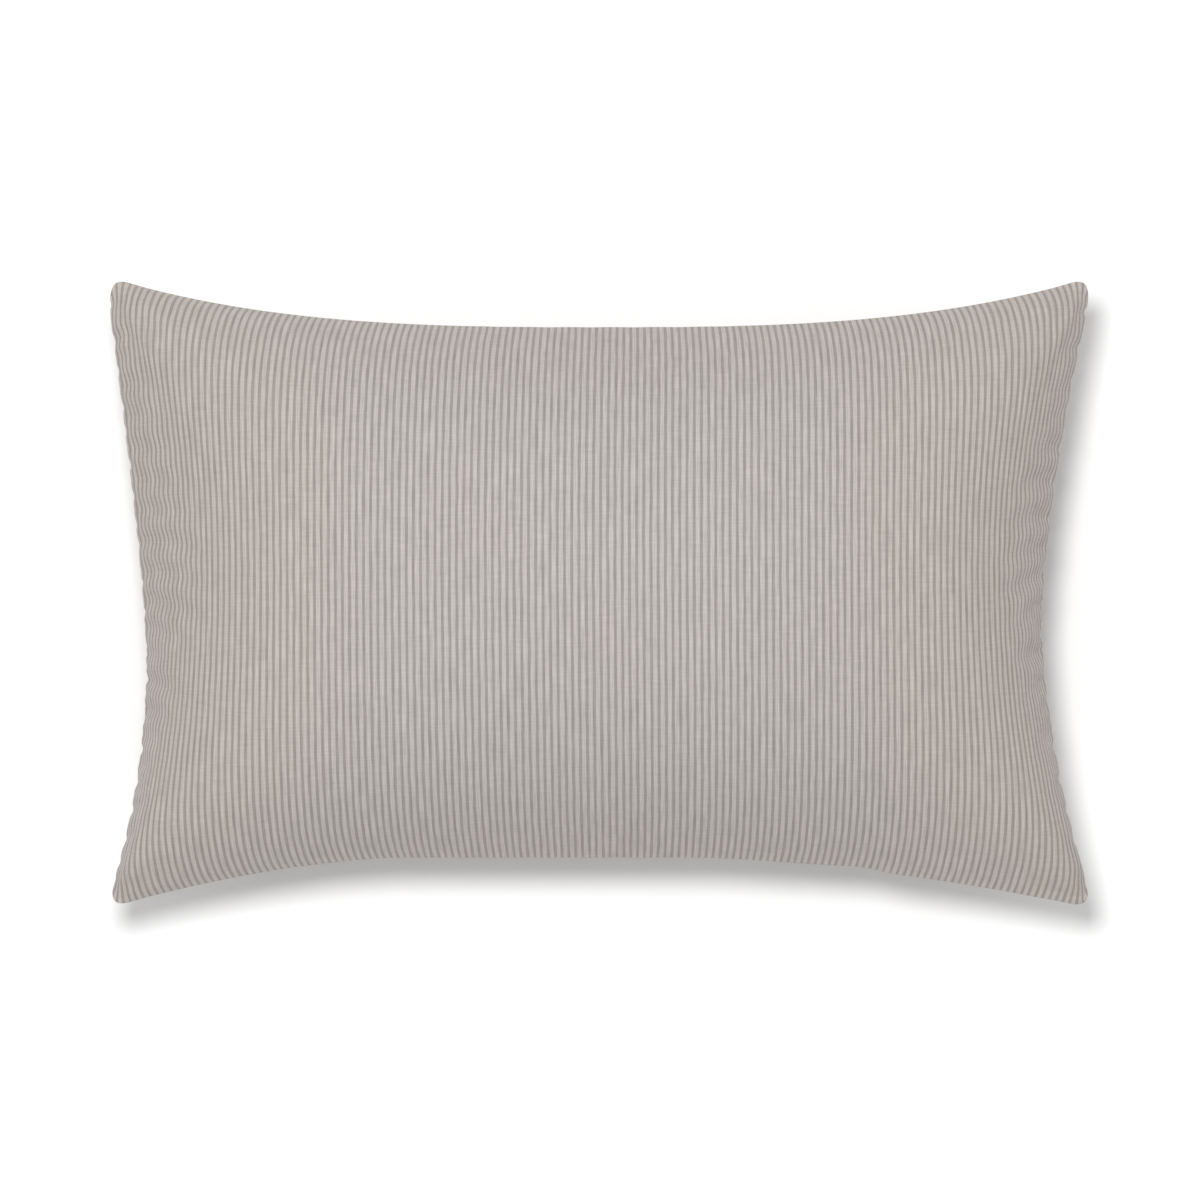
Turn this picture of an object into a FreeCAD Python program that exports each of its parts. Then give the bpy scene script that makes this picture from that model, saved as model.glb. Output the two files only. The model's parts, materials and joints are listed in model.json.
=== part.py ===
import FreeCAD, Part

# Lumbar throw pillow: a two-panel woven cover with a concealed coil zipper just behind its
# lower long seam, and a fibre-filled insert inside it. Millimetres. The pillow lies on its
# back panel: X runs along its length, Y across it, +Z up through the front panel, and the
# origin is the middle of its footprint on the surface that it rests on.

import math
import os

import Sketcher

doc = FreeCAD.newDocument("throw_pillow")
V = FreeCAD.Vector

# ---------------------------------------------------------------- driving dimensions
SIZES = {
    # stuffed cover, measured corner to corner, and how far each side's middle pulls in
    "cover_length": 545.0,
    "cover_width": 346.0,
    "end_pull_in": 24.0,
    "side_pull_in": 26.0,
    "straight_share": 0.55,
    "side_rise_power": 1.5,
    # heights: the seam above the floor, and each crown above or below the seam
    "seam_height": 69.0,
    "front_crown": 86.0,
    "back_crown": 77.0,
    "end_fullness": 0.55,
    "side_fullness": 0.55,
    "back_end_fullness": 1.0,
    # cloth
    "cover_cloth": 0.9,
    "edge_roll": 1.5,
    "seam_allowance": 12.0,
    "thread_width": 0.5,
    # insert
    "insert_setback": 15.0,
    "insert_gap": 1.2,
    "insert_cloth": 0.6,
    "insert_roll": 1.1,
    "insert_allowance": 6.0,
    "fill_gap": 0.3,
    # zipper: lengths along X, then sizes across the chain and through it
    "placket_length": 300.0,
    "chain_length": 282.0,
    "placket_gap": 0.15,
    "lap_width": 11.0,
    "slit_width": 2.2,
    "zipper_tilt": 27.0,
    "tape_length": 296.0,
    "tape_depth": 2.9,
    "tape_cloth": 0.5,
    "front_tape_width": 6.4,
    "back_tape_width": 8.2,
    "chain_gap": 1.6,
    "coil_width": 1.8,
    "coil_height": 1.5,
    "coil_rounding": 0.3,
    "stop_length": 2.8,
    "stop_overhang": 0.4,
    "stitch_pitch": 6.0,
    "stitch_width": 0.5,
    "stitch_sink": 0.1,
    "front_stitching": 4.6,
    "back_stitching": -6.6,
    "tack_length": 2.0,
    "tack_width": 8.0,
    "tack_height": 1.6,
    # slider and pull
    "slider_length": 10.0,
    "slider_width": 7.2,
    "slider_plate": 0.7,
    "slider_lip": 0.6,
    "lip_height": 1.65,
    "lip_overlap": 0.05,
    "slider_clearance": 0.4,
    "slider_stand_off": 1.0,
    "neck_length": 5.0,
    "neck_width": 1.0,
    "neck_overlap": 0.4,
    "saddle_length": 8.0,
    "saddle_width": 3.4,
    "saddle_lift": 0.7,
    "bridge_length": 6.0,
    "bridge_width": 1.5,
    "bridge_height": 2.7,
    "bridge_wall": 0.9,
    "bridge_overlap": 0.3,
    "bridge_hole_height": 1.5,
    "pull_length": 22.0,
    "pull_width": 4.6,
    "pull_tip_width": 2.8,
    "pull_cloth": 1.0,
    "pull_eye_length": 5.2,
    "pull_eye_shift": 0.95,
    "pull_head": 0.6,
    "pull_arm": 1.0,
    "pull_lift": 2.3,
    "crossbar_radius": 0.5,
    # labels
    "care_label_length": 30.0,
    "care_label_width": 20.0,
    "insert_label_length": 40.0,
    "insert_label_width": 24.0,
    "label_cloth": 0.3,
    "label_offset": 60.0,
    "care_label_inset": 3.4,
    "care_label_rise": 2.2,
    "care_label_lean": 9.0,
    "insert_label_offset": 40.0,
}

sheet = doc.addObject("Spreadsheet::Sheet", "sizes")
for row, (alias, value) in enumerate(SIZES.items(), start=1):
    sheet.set(f"A{row}", alias)
    sheet.set(f"B{row}", str(value))
    sheet.setAlias(f"B{row}", alias)
doc.recompute()


def size(alias):
    """The number in the sheet's cell of that name."""
    return float(getattr(sheet, alias))


HALF_LENGTH = size("cover_length") / 2
HALF_WIDTH = size("cover_width") / 2
SEAM_Z = size("seam_height")
CLOTH = size("cover_cloth")
# how far a panel's hollow is set in from its outline, in thicknesses of its cloth
HOLLOW_INSET = 1.5


# ---------------------------------------------------------------- the pillow's form
def crown_share(t, fullness):
    """How high the crown is at share t of the way from the middle to the seam: 1 to 0."""
    return (1 - t * t) * (1 + fullness * t * t)


def side_pull(u):
    """How far a long seam is pulled in at share u of the half length."""
    straight = size("straight_share")
    past = max(0.0, abs(u) - straight) / (1 - straight)
    return size("side_pull_in") * (1 - past ** size("side_rise_power"))


def plan_point(u, v, inset):
    """The point in plan at shares u, v of the half length and half width, each from -1 to 1."""
    x = u * (HALF_LENGTH - inset - size("end_pull_in") * (1 - v * v) * u * u)
    y = v * (HALF_WIDTH - inset - side_pull(u) * v * v)
    return x, y


def shares(count):
    """Evenly spread shares from -1 to 1, closer together towards the seams."""
    return [math.sin(math.pi / 2 * (2 * i / (count - 1) - 1)) for i in range(count)]


def pillow_form(inset, base_z, edge, crown, end_fullness, up):
    """A closed solid that stands on (up = 1) or hangs from (up = -1) the plane at base_z:
    a vertical edge, and a crowned face above it whose seams pull in between the corners."""
    rows = []
    for u in shares(29):
        row = []
        for v in shares(21):
            x, y = plan_point(u, v, inset)
            rise = crown_share(u, end_fullness) * crown_share(v, size("side_fullness"))
            row.append(V(x, y, base_z + up * (edge + (crown - edge) * rise)))
        rows.append(row)
    surface = Part.BSplineSurface()
    surface.interpolate(rows)
    face = surface.toShape()
    drop = V(0, 0, -up * edge)
    faces = [face]
    rim = face.OuterWire.Edges
    if edge > 0:
        faces += [e.extrude(drop) for e in rim]
        rim = [e.translated(drop) for e in rim]
    faces.append(Part.Face(Part.Wire(Part.__sortEdges__(rim))))
    shell = Part.makeShell(faces)
    shell.sewShape()
    solid = Part.Solid(shell)
    if solid.Volume < 0:
        solid.reverse()
    return solid


def outline_prism(inset, low, high):
    """The seam's outline, set in by inset and extruded from low to high."""
    corners = [(-1, -1), (1, -1), (1, 1), (-1, 1), (-1, -1)]
    edges = []
    for (u0, v0), (u1, v1) in zip(corners, corners[1:]):
        points = []
        for s in shares(29):
            t = (s + 1) / 2
            x, y = plan_point(u0 + (u1 - u0) * t, v0 + (v1 - v0) * t, inset)
            points.append(V(x, y, low))
        curve = Part.BSplineCurve()
        curve.interpolate(points)
        edges.append(curve.toShape())
    return Part.Face(Part.Wire(edges)).extrude(V(0, 0, high - low))


def feature(name, shape):
    """A Part::Feature that holds a shape."""
    made = doc.addObject("Part::Feature", name)
    made.Shape = shape
    return made


def cut(name, base, *tools):
    """base less each tool, as Part::Cut objects; the last one takes the name."""
    for i, tool in enumerate(tools):
        made = doc.addObject("Part::Cut", name if i == len(tools) - 1 else f"{name}_less_{tool.Name}")
        made.Base, made.Tool = base, tool
        base = made
    return base


def common(name, base, tool):
    """What two objects share, as a Part::Common."""
    made = doc.addObject("Part::Common", name)
    made.Base, made.Tool = base, tool
    return made


def fuse(name, *shapes):
    """Several objects joined, as a Part::MultiFuse."""
    made = doc.addObject("Part::MultiFuse", name)
    made.Shapes = list(shapes)
    return made


def box(name, length, width, height, place=None):
    """A Part::Box whose three sizes are expressions of the sheet."""
    made = doc.addObject("Part::Box", name)
    for side, expression in (("Length", length), ("Width", width), ("Height", height)):
        made.setExpression(side, expression)
    if place is not None:
        made.Placement = place
    return made


# ---------------------------------------------------------------- the zipper's own frame
# Local x runs along the zipper, local y across it towards the seam, and local z out of the
# cover. The local origin is the middle of the slit, on the cover's outer face.
SLIT_DROP = size("lap_width") * math.cos(math.radians(size("zipper_tilt"))) + size("slit_width") / 2


def wall_y(drop):
    """Y of the back panel's outer face, mid-length on the zipper's side, at a drop below the seam."""
    low, high = 0.5, 1.0
    for _ in range(60):
        v = (low + high) / 2
        share = crown_share(v, size("side_fullness"))
        depth = size("edge_roll") + (size("back_crown") - size("edge_roll")) * share
        low, high = (v, high) if depth > drop else (low, v)
    return plan_point(0, -low, 0)[1]


TRACK_TURN = FreeCAD.Rotation(V(1, 0, 0), 90 + size("zipper_tilt"))
TRACK_ORIGIN = V(0, wall_y(SLIT_DROP), SEAM_Z - SLIT_DROP)
TRACK = FreeCAD.Placement(TRACK_ORIGIN, TRACK_TURN)


def on_track(x, y, z):
    """A Placement in the zipper's frame, moved by x, y, z along its own axes."""
    return TRACK.multiply(FreeCAD.Placement(V(x, y, z), FreeCAD.Rotation()))


# ---------------------------------------------------------------- cover
def panel_blanks():
    """Front and back panels with their seam allowances, before the zipper's placket is cut."""
    roll = size("edge_roll")
    inner = HOLLOW_INSET * CLOTH
    ends, back_ends = size("end_fullness"), size("back_end_fullness")
    deep = size("back_crown")
    window = feature(
        "allowance_window",
        outline_prism(inner + size("seam_allowance"), SEAM_Z - 2 * CLOTH, SEAM_Z + 2 * CLOTH),
    )
    front_out = pillow_form(0, SEAM_Z, roll, size("front_crown"), ends, 1)
    front_in = pillow_form(inner, SEAM_Z + CLOTH, 0, size("front_crown") - 2 * CLOTH, ends, 1)
    back_out = pillow_form(0, SEAM_Z, roll, deep, back_ends, -1)
    back_in = pillow_form(inner, SEAM_Z - CLOTH, 0, deep - 2 * CLOTH, back_ends, -1)
    front = cut("front_blank", feature("front_outside", front_out), feature("front_inside", front_in), window)
    outside = cut("back_outside", feature("back_form", back_out), floor_block("floor", 0))
    inside = cut("back_inside", feature("back_hollow", back_in), floor_block("floor_inside", CLOTH))
    back = cut("back_blank", outside, inside, window)
    return front, back


def floor_block(name, top):
    """Everything under a height, for flattening a form where it rests."""
    depth = size("seam_height")
    place = FreeCAD.Placement(V(-HALF_LENGTH, -HALF_WIDTH, top - depth), FreeCAD.Rotation())
    return box(name, "sizes.cover_length", "sizes.cover_width", "sizes.seam_height", place)


def make_cover():
    """The two panels. Along the placket the front panel laps over the seam to the zipper."""
    front, back = panel_blanks()
    half = size("placket_length") / 2
    seam_y = plan_point(0, -1, 0)[1]
    slit = size("slit_width")
    hollow_y = seam_y + HOLLOW_INSET * CLOTH
    clear = V(-half, hollow_y + size("placket_gap"), SEAM_Z - 1.5 * CLOTH)
    no_allowance = box(
        "placket_clear", "sizes.placket_length", "sizes.seam_allowance + 2", "sizes.cover_cloth * 3",
        FreeCAD.Placement(clear, FreeCAD.Rotation()),
    )
    lap_zone = box(
        "lap_zone", "sizes.placket_length", "sizes.lap_width * 2", "sizes.lap_width * 2",
        on_track(-half, slit / 2, -size("lap_width")),
    )
    open_zone = box(
        "open_zone", "sizes.placket_length", "sizes.lap_width * 2 + sizes.slit_width", "sizes.lap_width * 2",
        on_track(-half, -slit / 2, -size("lap_width")),
    )
    below = box(
        "below_seam", "sizes.cover_length", "sizes.cover_width", "sizes.seam_height",
        FreeCAD.Placement(V(-HALF_LENGTH, -HALF_WIDTH, 0), FreeCAD.Rotation()),
    )
    assert 2 * size("lap_width") > SLIT_DROP, "the lap's zone doesn't reach the seam"
    open_back = common("open_zone_below", open_zone, below)
    front_clear = cut("front_clear", front, no_allowance)
    back_clear = cut("back_clear", back, no_allowance)
    lap = common("lap", back_clear, lap_zone)
    fuse("cover_front_panel", front_clear, lap)
    cut("cover_back_panel", back_clear, open_back)


def thread_ring(name, inset, width, height, gap_half):
    """A lockstitch line round the seam, as a thin ring in the seam's plane, open at the placket."""
    low, high = SEAM_Z - height / 2, SEAM_Z + height / 2
    outer = feature(f"{name}_outside", outline_prism(inset, low, high))
    inner = feature(f"{name}_inside", outline_prism(inset + width, low - 1, high + 1))
    if not gap_half:
        return cut(name, outer, inner)
    gap = box(f"{name}_gap", "sizes.placket_length", "sizes.cover_width / 2", "sizes.cover_cloth * 4")
    gap.Placement.Base = V(-gap_half, -HALF_WIDTH, SEAM_Z - 2 * CLOTH)
    return cut(name, outer, inner, gap)


# ---------------------------------------------------------------- insert
def insert_halves(inset, roll, crown_drop):
    """The front and back solids of a form that lies inside the cover."""
    high, deep = size("front_crown") - crown_drop, size("back_crown") - crown_drop
    front = pillow_form(inset, SEAM_Z, roll, high, size("end_fullness"), 1)
    back = pillow_form(inset, SEAM_Z, roll, deep, size("back_end_fullness"), -1)
    return front, back


def make_insert():
    """The insert's casing in two panels, the thread of its seam, and its fill."""
    cloth, roll = size("insert_cloth"), size("insert_roll")
    inset = size("insert_setback")
    drop = CLOTH + size("insert_gap")
    inner = inset + HOLLOW_INSET * cloth
    front_out, back_out = insert_halves(inset, roll, drop)
    ends, back_ends = size("end_fullness"), size("back_end_fullness")
    front_in = pillow_form(inner, SEAM_Z + cloth, 0, size("front_crown") - drop - 2 * cloth, ends, 1)
    back_in = pillow_form(inner, SEAM_Z - cloth, 0, size("back_crown") - drop - 2 * cloth, back_ends, -1)
    window = feature(
        "insert_window",
        outline_prism(inner + size("insert_allowance"), SEAM_Z - 2 * cloth, SEAM_Z + 2 * cloth),
    )
    front_form = feature("insert_front_form", front_out)
    front_hollow = feature("insert_front_hollow", front_in)
    cut("insert_front_panel", front_form, front_hollow, window)
    floor, floor_inside = floor_block("insert_floor", drop), floor_block("insert_floor_inside", drop + cloth)
    outside = cut("insert_back_outside", feature("insert_back_form", back_out), floor)
    inside = cut("insert_back_inside", feature("insert_back_hollow", back_in), floor_inside)
    cut("insert_back_panel", outside, inside, window)
    thread_ring("insert_seam_thread", inset + 1.2 * cloth, size("thread_width"), cloth, 0)

    gap = size("fill_gap")
    fill_inset = inner + size("insert_allowance") + gap
    fill_drop = drop + cloth + gap
    fill_front, fill_back = insert_halves(fill_inset, roll, fill_drop)
    fill = fuse("fill_whole", feature("fill_front", fill_front), feature("fill_back", fill_back))
    cut("insert_fill", fill, floor_block("fill_floor", fill_drop))


# ---------------------------------------------------------------- zipper
def bar(name, length, width, height, x, y, z):
    """A straight piece of the zipper: a box with its low corner at x, y, z of the zipper's frame."""
    return box(name, f"sizes.{length}", f"sizes.{width}", f"sizes.{height}", on_track(x, y, z))


def repeated(name, shape, places):
    """Copies of one shape at several Placements, as one compound of separate solids."""
    copies = []
    for place in places:
        copy = shape.copy()
        copy.Placement = place.multiply(copy.Placement)
        copies.append(copy)
    return feature(name, Part.makeCompound(copies))


def rounded_rail(name, x, y, z):
    """One row of the nylon coil, drawn as its envelope: a bar with rounded long edges."""
    blank = box(f"{name}_blank", "sizes.chain_length", "sizes.coil_width", "sizes.coil_height")
    rail = doc.addObject("Part::Fillet", name)
    rail.Base = blank
    doc.recompute()
    radius = size("coil_height") * size("coil_rounding")
    along = [
        i for i, e in enumerate(blank.Shape.Edges, start=1)
        if abs(e.tangentAt(e.FirstParameter).x) > 0.99
    ]
    rail.Edges = [(i, radius, radius) for i in along]
    rail.Placement = on_track(x, y, z)
    return rail


def make_zipper():
    """Two tapes with their coils, the stops, the stitching that holds the tapes, and bar tacks."""
    tape_half, chain_half = size("tape_length") / 2, size("chain_length") / 2
    beside, tape_top = size("chain_gap") / 2, -size("tape_depth")
    tape_low = tape_top - size("tape_cloth")
    coil_low = tape_low - size("coil_height")
    bar("zipper_tape_front", "tape_length", "front_tape_width", "tape_cloth", -tape_half, beside, tape_low)
    bar(
        "zipper_tape_back", "tape_length", "back_tape_width", "tape_cloth",
        -tape_half, -beside - size("back_tape_width"), tape_low,
    )
    rounded_rail("zipper_coil_front", -chain_half, beside, coil_low)
    rounded_rail("zipper_coil_back", -chain_half, -beside - size("coil_width"), coil_low)
    stops = {"zipper_top_stop": chain_half, "zipper_bottom_stop": -chain_half - size("stop_length")}
    for name, x in stops.items():
        box(
            name, "sizes.stop_length", "sizes.chain_gap + sizes.coil_width * 2",
            "sizes.coil_height + sizes.stop_overhang",
            on_track(x, -beside - size("coil_width"), coil_low - size("stop_overhang")),
        )
    sink = size("stitch_sink")
    leg_height = size("tape_depth") + size("tape_cloth") + 2 * sink
    leg = Part.makeBox(size("stitch_pitch") / 2, size("stitch_width"), leg_height)
    count = int(size("tape_length") / size("stitch_pitch")) - 1
    start = -(count - 1) / 2 * size("stitch_pitch") - size("stitch_pitch") / 4
    rows = {
        "zipper_stitching_front": size("front_stitching"),
        "zipper_stitching_back": size("back_stitching"),
    }
    for name, y in rows.items():
        places = [on_track(start + i * size("stitch_pitch"), y, tape_low - sink) for i in range(count)]
        repeated(name, leg, places)
    length, width, height = size("tack_length"), size("tack_width"), size("tack_height")
    end = size("placket_length") / 2
    ends = [on_track(x - length / 2, -width / 2, -height) for x in (-end, end)]
    repeated("zipper_bar_tacks", Part.makeBox(length, width, height), ends)


# ---------------------------------------------------------------- slider and pull
def plane_of(body, role):
    """One of a body's own three planes, such as XY_Plane."""
    return next(f for f in body.Origin.OriginFeatures if f.Role == role)


def new_body(name):
    """An empty PartDesign body."""
    body = doc.addObject("PartDesign::Body", name)
    body.Label = name
    return body


def sketch_on(body, name, role, offset):
    """A sketch on a plane of the body, lifted by an offset along the plane's normal."""
    sketch = body.newObject("Sketcher::SketchObject", name)
    sketch.AttachmentSupport = (plane_of(body, role), [""])
    sketch.MapMode = "FlatFace"
    sketch.AttachmentOffset = FreeCAD.Placement(V(0, 0, offset), FreeCAD.Rotation())
    return sketch


def centred_rectangle(sketch, width, height, centre_x=0.0, centre_y=0.0):
    """A rectangle about a point of the sketch, with its sides driven by expressions."""
    w, h = 1.0, 1.0
    corners = [V(-w, -h, 0), V(w, -h, 0), V(w, h, 0), V(-w, h, 0)]
    first = sketch.GeometryCount
    for a, b in zip(corners, corners[1:] + corners[:1]):
        sketch.addGeometry(Part.LineSegment(a, b), False)
    low, right, top, left = range(first, first + 4)
    for a, b in ((low, right), (right, top), (top, left), (left, low)):
        sketch.addConstraint(Sketcher.Constraint("Coincident", a, 2, b, 1))
    for line, way in ((low, "Horizontal"), (top, "Horizontal"), (left, "Vertical"), (right, "Vertical")):
        sketch.addConstraint(Sketcher.Constraint(way, line))
    wide = sketch.addConstraint(Sketcher.Constraint("DistanceX", low, 1, low, 2, 2 * w))
    tall = sketch.addConstraint(Sketcher.Constraint("DistanceY", right, 1, right, 2, 2 * h))
    sketch.setExpression(f"Constraints[{wide}]", width)
    sketch.setExpression(f"Constraints[{tall}]", height)
    from_x = sketch.addConstraint(Sketcher.Constraint("DistanceX", -1, 1, low, 1, -w))
    from_y = sketch.addConstraint(Sketcher.Constraint("DistanceY", -1, 1, low, 1, -h))
    sketch.setExpression(f"Constraints[{from_x}]", f"{centre_x} - ({width}) / 2")
    sketch.setExpression(f"Constraints[{from_y}]", f"{centre_y} - ({height}) / 2")


def pad(body, name, sketch, length):
    """A pad whose length is an expression of the sheet."""
    made = body.newObject("PartDesign::Pad", name)
    made.Profile = sketch
    made.setExpression("Length", length)
    doc.recompute()
    return made


def pocket(body, name, sketch, length):
    """A pocket that cuts both ways from its sketch."""
    before = body.Shape.Volume
    made = body.newObject("PartDesign::Pocket", name)
    made.Profile = sketch
    made.Midplane = True
    made.setExpression("Length", length)
    doc.recompute()
    assert body.Shape.Volume < before - 0.01, f"{name} cut nothing"
    return made


def make_slider(x):
    """The slider: an inner plate with two lips, a neck through the slit, and a saddle with a
    bridge for the pull. It is drawn in the zipper's frame about its own middle."""
    body = new_body("slider_body")
    tape_low = -size("tape_depth") - size("tape_cloth")
    plate_top = tape_low - size("coil_height") - size("slider_clearance")
    plate_low = plate_top - size("slider_plate")
    plate = sketch_on(body, "plate_outline", "XY_Plane", plate_low)
    centred_rectangle(plate, "sizes.slider_length", "sizes.slider_width")
    pad(body, "plate", plate, "sizes.slider_plate")
    lip_middle = size("slider_width") / 2 - size("slider_lip") / 2
    lips = sketch_on(body, "lip_outlines", "XY_Plane", plate_top - size("lip_overlap"))
    for side in (-1, 1):
        centred_rectangle(lips, "sizes.slider_length", "sizes.slider_lip", 0, side * lip_middle)
    pad(body, "lips", lips, "sizes.lip_height")
    neck = sketch_on(body, "neck_outline", "XY_Plane", plate_low)
    centred_rectangle(neck, "sizes.neck_length", "sizes.neck_width")
    neck_height = -plate_low + size("saddle_lift") + size("neck_overlap")
    pad(body, "neck", neck, f"{neck_height}")
    saddle = sketch_on(body, "saddle_outline", "XY_Plane", size("saddle_lift"))
    centred_rectangle(saddle, "sizes.saddle_length", "sizes.saddle_width")
    pad(body, "saddle", saddle, "sizes.slider_plate")
    bridge_low = size("saddle_lift") + size("bridge_overlap")
    bridge = sketch_on(body, "bridge_outline", "XY_Plane", bridge_low)
    centred_rectangle(bridge, "sizes.bridge_length", "sizes.bridge_width")
    pad(body, "bridge", bridge, "sizes.bridge_height")
    eye = sketch_on(body, "bridge_eye", "XZ_Plane", 0)
    hole_length = "sizes.bridge_length - sizes.bridge_wall * 2"
    centred_rectangle(eye, hole_length, "sizes.bridge_hole_height", 0, size("pull_lift"))
    pocket(body, "bridge_hole", eye, "sizes.bridge_width * 2")
    body.Placement = on_track(x, 0, 0)
    return body


def make_pull(x):
    """The pull: a tapered tab, an eye that straddles the bridge, and a round crossbar through
    it. It is drawn about its crossbar, with the tab lying along -x."""
    body = new_body("slider_pull")
    half, tip = size("pull_width") / 2, size("pull_tip_width") / 2
    far = size("pull_length") - tip
    neck = size("pull_eye_length")
    outline = sketch_on(body, "tab_outline", "XY_Plane", -size("pull_cloth") / 2)
    head = size("pull_head")
    points = [V(head, -half, 0), V(head, half, 0), V(-neck, half, 0), V(-far, tip, 0)]
    mirrored = [V(-far, -tip, 0), V(-neck, -half, 0)]
    outline.addGeometry(Part.LineSegment(points[0], points[1]), False)
    outline.addGeometry(Part.LineSegment(points[1], points[2]), False)
    outline.addGeometry(Part.LineSegment(points[2], points[3]), False)
    outline.addGeometry(Part.Arc(points[3], V(-far - tip, 0, 0), mirrored[0]), False)
    outline.addGeometry(Part.LineSegment(mirrored[0], mirrored[1]), False)
    outline.addGeometry(Part.LineSegment(mirrored[1], points[0]), False)
    for i in range(6):
        outline.addConstraint(Sketcher.Constraint("Coincident", i, 2, (i + 1) % 6, 1))
    pad(body, "tab", outline, "sizes.pull_cloth")
    eye = sketch_on(body, "eye_outline", "XY_Plane", 0)
    eye_width = "sizes.pull_width - sizes.pull_arm * 2"
    centred_rectangle(eye, "sizes.pull_eye_length", eye_width, size("pull_eye_shift") - neck / 2)
    pocket(body, "eye", eye, "sizes.pull_cloth * 3")
    crossbar = sketch_on(body, "crossbar_outline", "XZ_Plane", -half)
    radius = size("crossbar_radius")
    circle = crossbar.addGeometry(Part.Circle(V(0, 0, 0), V(0, 0, 1), radius), False)
    crossbar.addConstraint(Sketcher.Constraint("Coincident", circle, 3, -1, 1))
    crossbar.addConstraint(Sketcher.Constraint("Radius", circle, radius))
    pad(body, "crossbar", crossbar, "sizes.pull_width")
    body.Placement = on_track(x, 0, size("pull_lift"))
    return body


# ---------------------------------------------------------------- labels
def make_labels():
    """A care label that hangs inside the front panel above the zipper, and the insert's own
    label, which lies on the flattened part of its back panel."""
    seam_y = plan_point(0, -1, 0)[1]
    rise = size("front_crown") * (1 + size("side_fullness")) * 2
    slope = math.degrees(math.atan2(rise, abs(seam_y)))
    turn = FreeCAD.Rotation(V(1, 0, 0), slope - size("care_label_lean"))
    care = box("care_label", "sizes.care_label_length", "sizes.care_label_width", "sizes.label_cloth")
    care_y, care_z = seam_y + size("care_label_inset"), SEAM_Z + size("care_label_rise")
    care.Placement = FreeCAD.Placement(V(size("label_offset"), care_y, care_z), turn)
    flat = box("insert_label", "sizes.insert_label_length", "sizes.insert_label_width", "sizes.label_cloth")
    under_insert = CLOTH + size("insert_gap") - size("label_cloth")
    flat_place = V(size("label_offset"), -size("insert_label_offset"), under_insert)
    flat.Placement = FreeCAD.Placement(flat_place, FreeCAD.Rotation())


# ---------------------------------------------------------------- build and export
make_cover()
thread_ring("cover_seam_thread", 1.4 * CLOTH, size("thread_width"), CLOTH, size("placket_length") / 2)
make_insert()
make_zipper()
SLIDER_X = (size("chain_length") - size("slider_length")) / 2 - size("slider_stand_off")
make_slider(SLIDER_X)
make_pull(SLIDER_X)
make_labels()

NODES = [
    "cover_front_panel", "cover_back_panel", "cover_seam_thread", "care_label",
    "zipper_tape_front", "zipper_tape_back", "zipper_coil_front", "zipper_coil_back",
    "zipper_stitching_front", "zipper_stitching_back", "zipper_bar_tacks",
    "zipper_top_stop", "zipper_bottom_stop", "slider_body", "slider_pull",
    "insert_front_panel", "insert_back_panel", "insert_seam_thread", "insert_fill", "insert_label",
]

doc.recompute()
for item in doc.Objects:
    assert "Invalid" not in item.State and "Error" not in item.State, f"{item.Name}: {item.State}"
os.makedirs("parts", exist_ok=True)
for name in NODES:
    node = doc.getObject(name)
    node.Label = name
    shape = node.Shape
    assert not shape.isNull() and shape.isValid(), f"{name} isn't a valid shape"
    assert shape.Solids, f"{name} has no solid"
    shape.exportStep(f"parts/{name}.step")
    bounds = shape.BoundBox
    print(f"{name}: {len(shape.Solids)} solid(s), {shape.Volume:.0f} mm3, {bounds}")
print(f"track origin {TRACK_ORIGIN}, slider at x {SLIDER_X}")
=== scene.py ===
# Lumbar throw pillow. The cover is sewn from two flat panels and filled by a small cloth
# solver, so that its crown and its pulled-in sides come from the cut. The insert follows the
# filled cover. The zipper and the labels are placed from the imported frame. Metres throughout.

import json
import math

import bpy
import numpy as np
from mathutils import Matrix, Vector


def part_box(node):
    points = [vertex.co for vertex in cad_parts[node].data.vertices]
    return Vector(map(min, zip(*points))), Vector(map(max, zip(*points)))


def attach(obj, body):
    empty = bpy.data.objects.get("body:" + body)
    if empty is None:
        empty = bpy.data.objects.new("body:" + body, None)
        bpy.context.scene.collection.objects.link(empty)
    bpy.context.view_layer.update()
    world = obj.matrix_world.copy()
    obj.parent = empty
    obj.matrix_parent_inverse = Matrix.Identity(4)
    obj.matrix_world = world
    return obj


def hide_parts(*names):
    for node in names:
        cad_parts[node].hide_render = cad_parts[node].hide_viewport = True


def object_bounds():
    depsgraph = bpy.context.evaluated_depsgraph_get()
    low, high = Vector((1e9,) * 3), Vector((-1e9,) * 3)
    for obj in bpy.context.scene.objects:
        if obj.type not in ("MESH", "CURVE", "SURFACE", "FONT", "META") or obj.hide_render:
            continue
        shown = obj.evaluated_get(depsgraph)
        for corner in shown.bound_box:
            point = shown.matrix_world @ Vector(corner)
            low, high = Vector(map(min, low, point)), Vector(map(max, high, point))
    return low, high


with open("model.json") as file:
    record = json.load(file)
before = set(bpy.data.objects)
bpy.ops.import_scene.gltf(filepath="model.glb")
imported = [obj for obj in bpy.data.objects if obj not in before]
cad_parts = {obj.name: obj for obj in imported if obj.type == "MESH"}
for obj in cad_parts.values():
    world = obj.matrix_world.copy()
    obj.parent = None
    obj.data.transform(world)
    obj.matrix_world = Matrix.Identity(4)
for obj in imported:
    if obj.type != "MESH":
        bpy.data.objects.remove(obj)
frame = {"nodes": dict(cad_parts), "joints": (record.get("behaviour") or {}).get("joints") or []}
cad_low, cad_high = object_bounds()
MM = 0.001

# ---------------------------------------------------------------- sizes
HALF_LENGTH = cad_high.x
HALF_WIDTH = cad_high.y
SEAM_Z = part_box("cover_back_panel")[1].z
CROWN = cad_high.z - SEAM_Z

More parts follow.
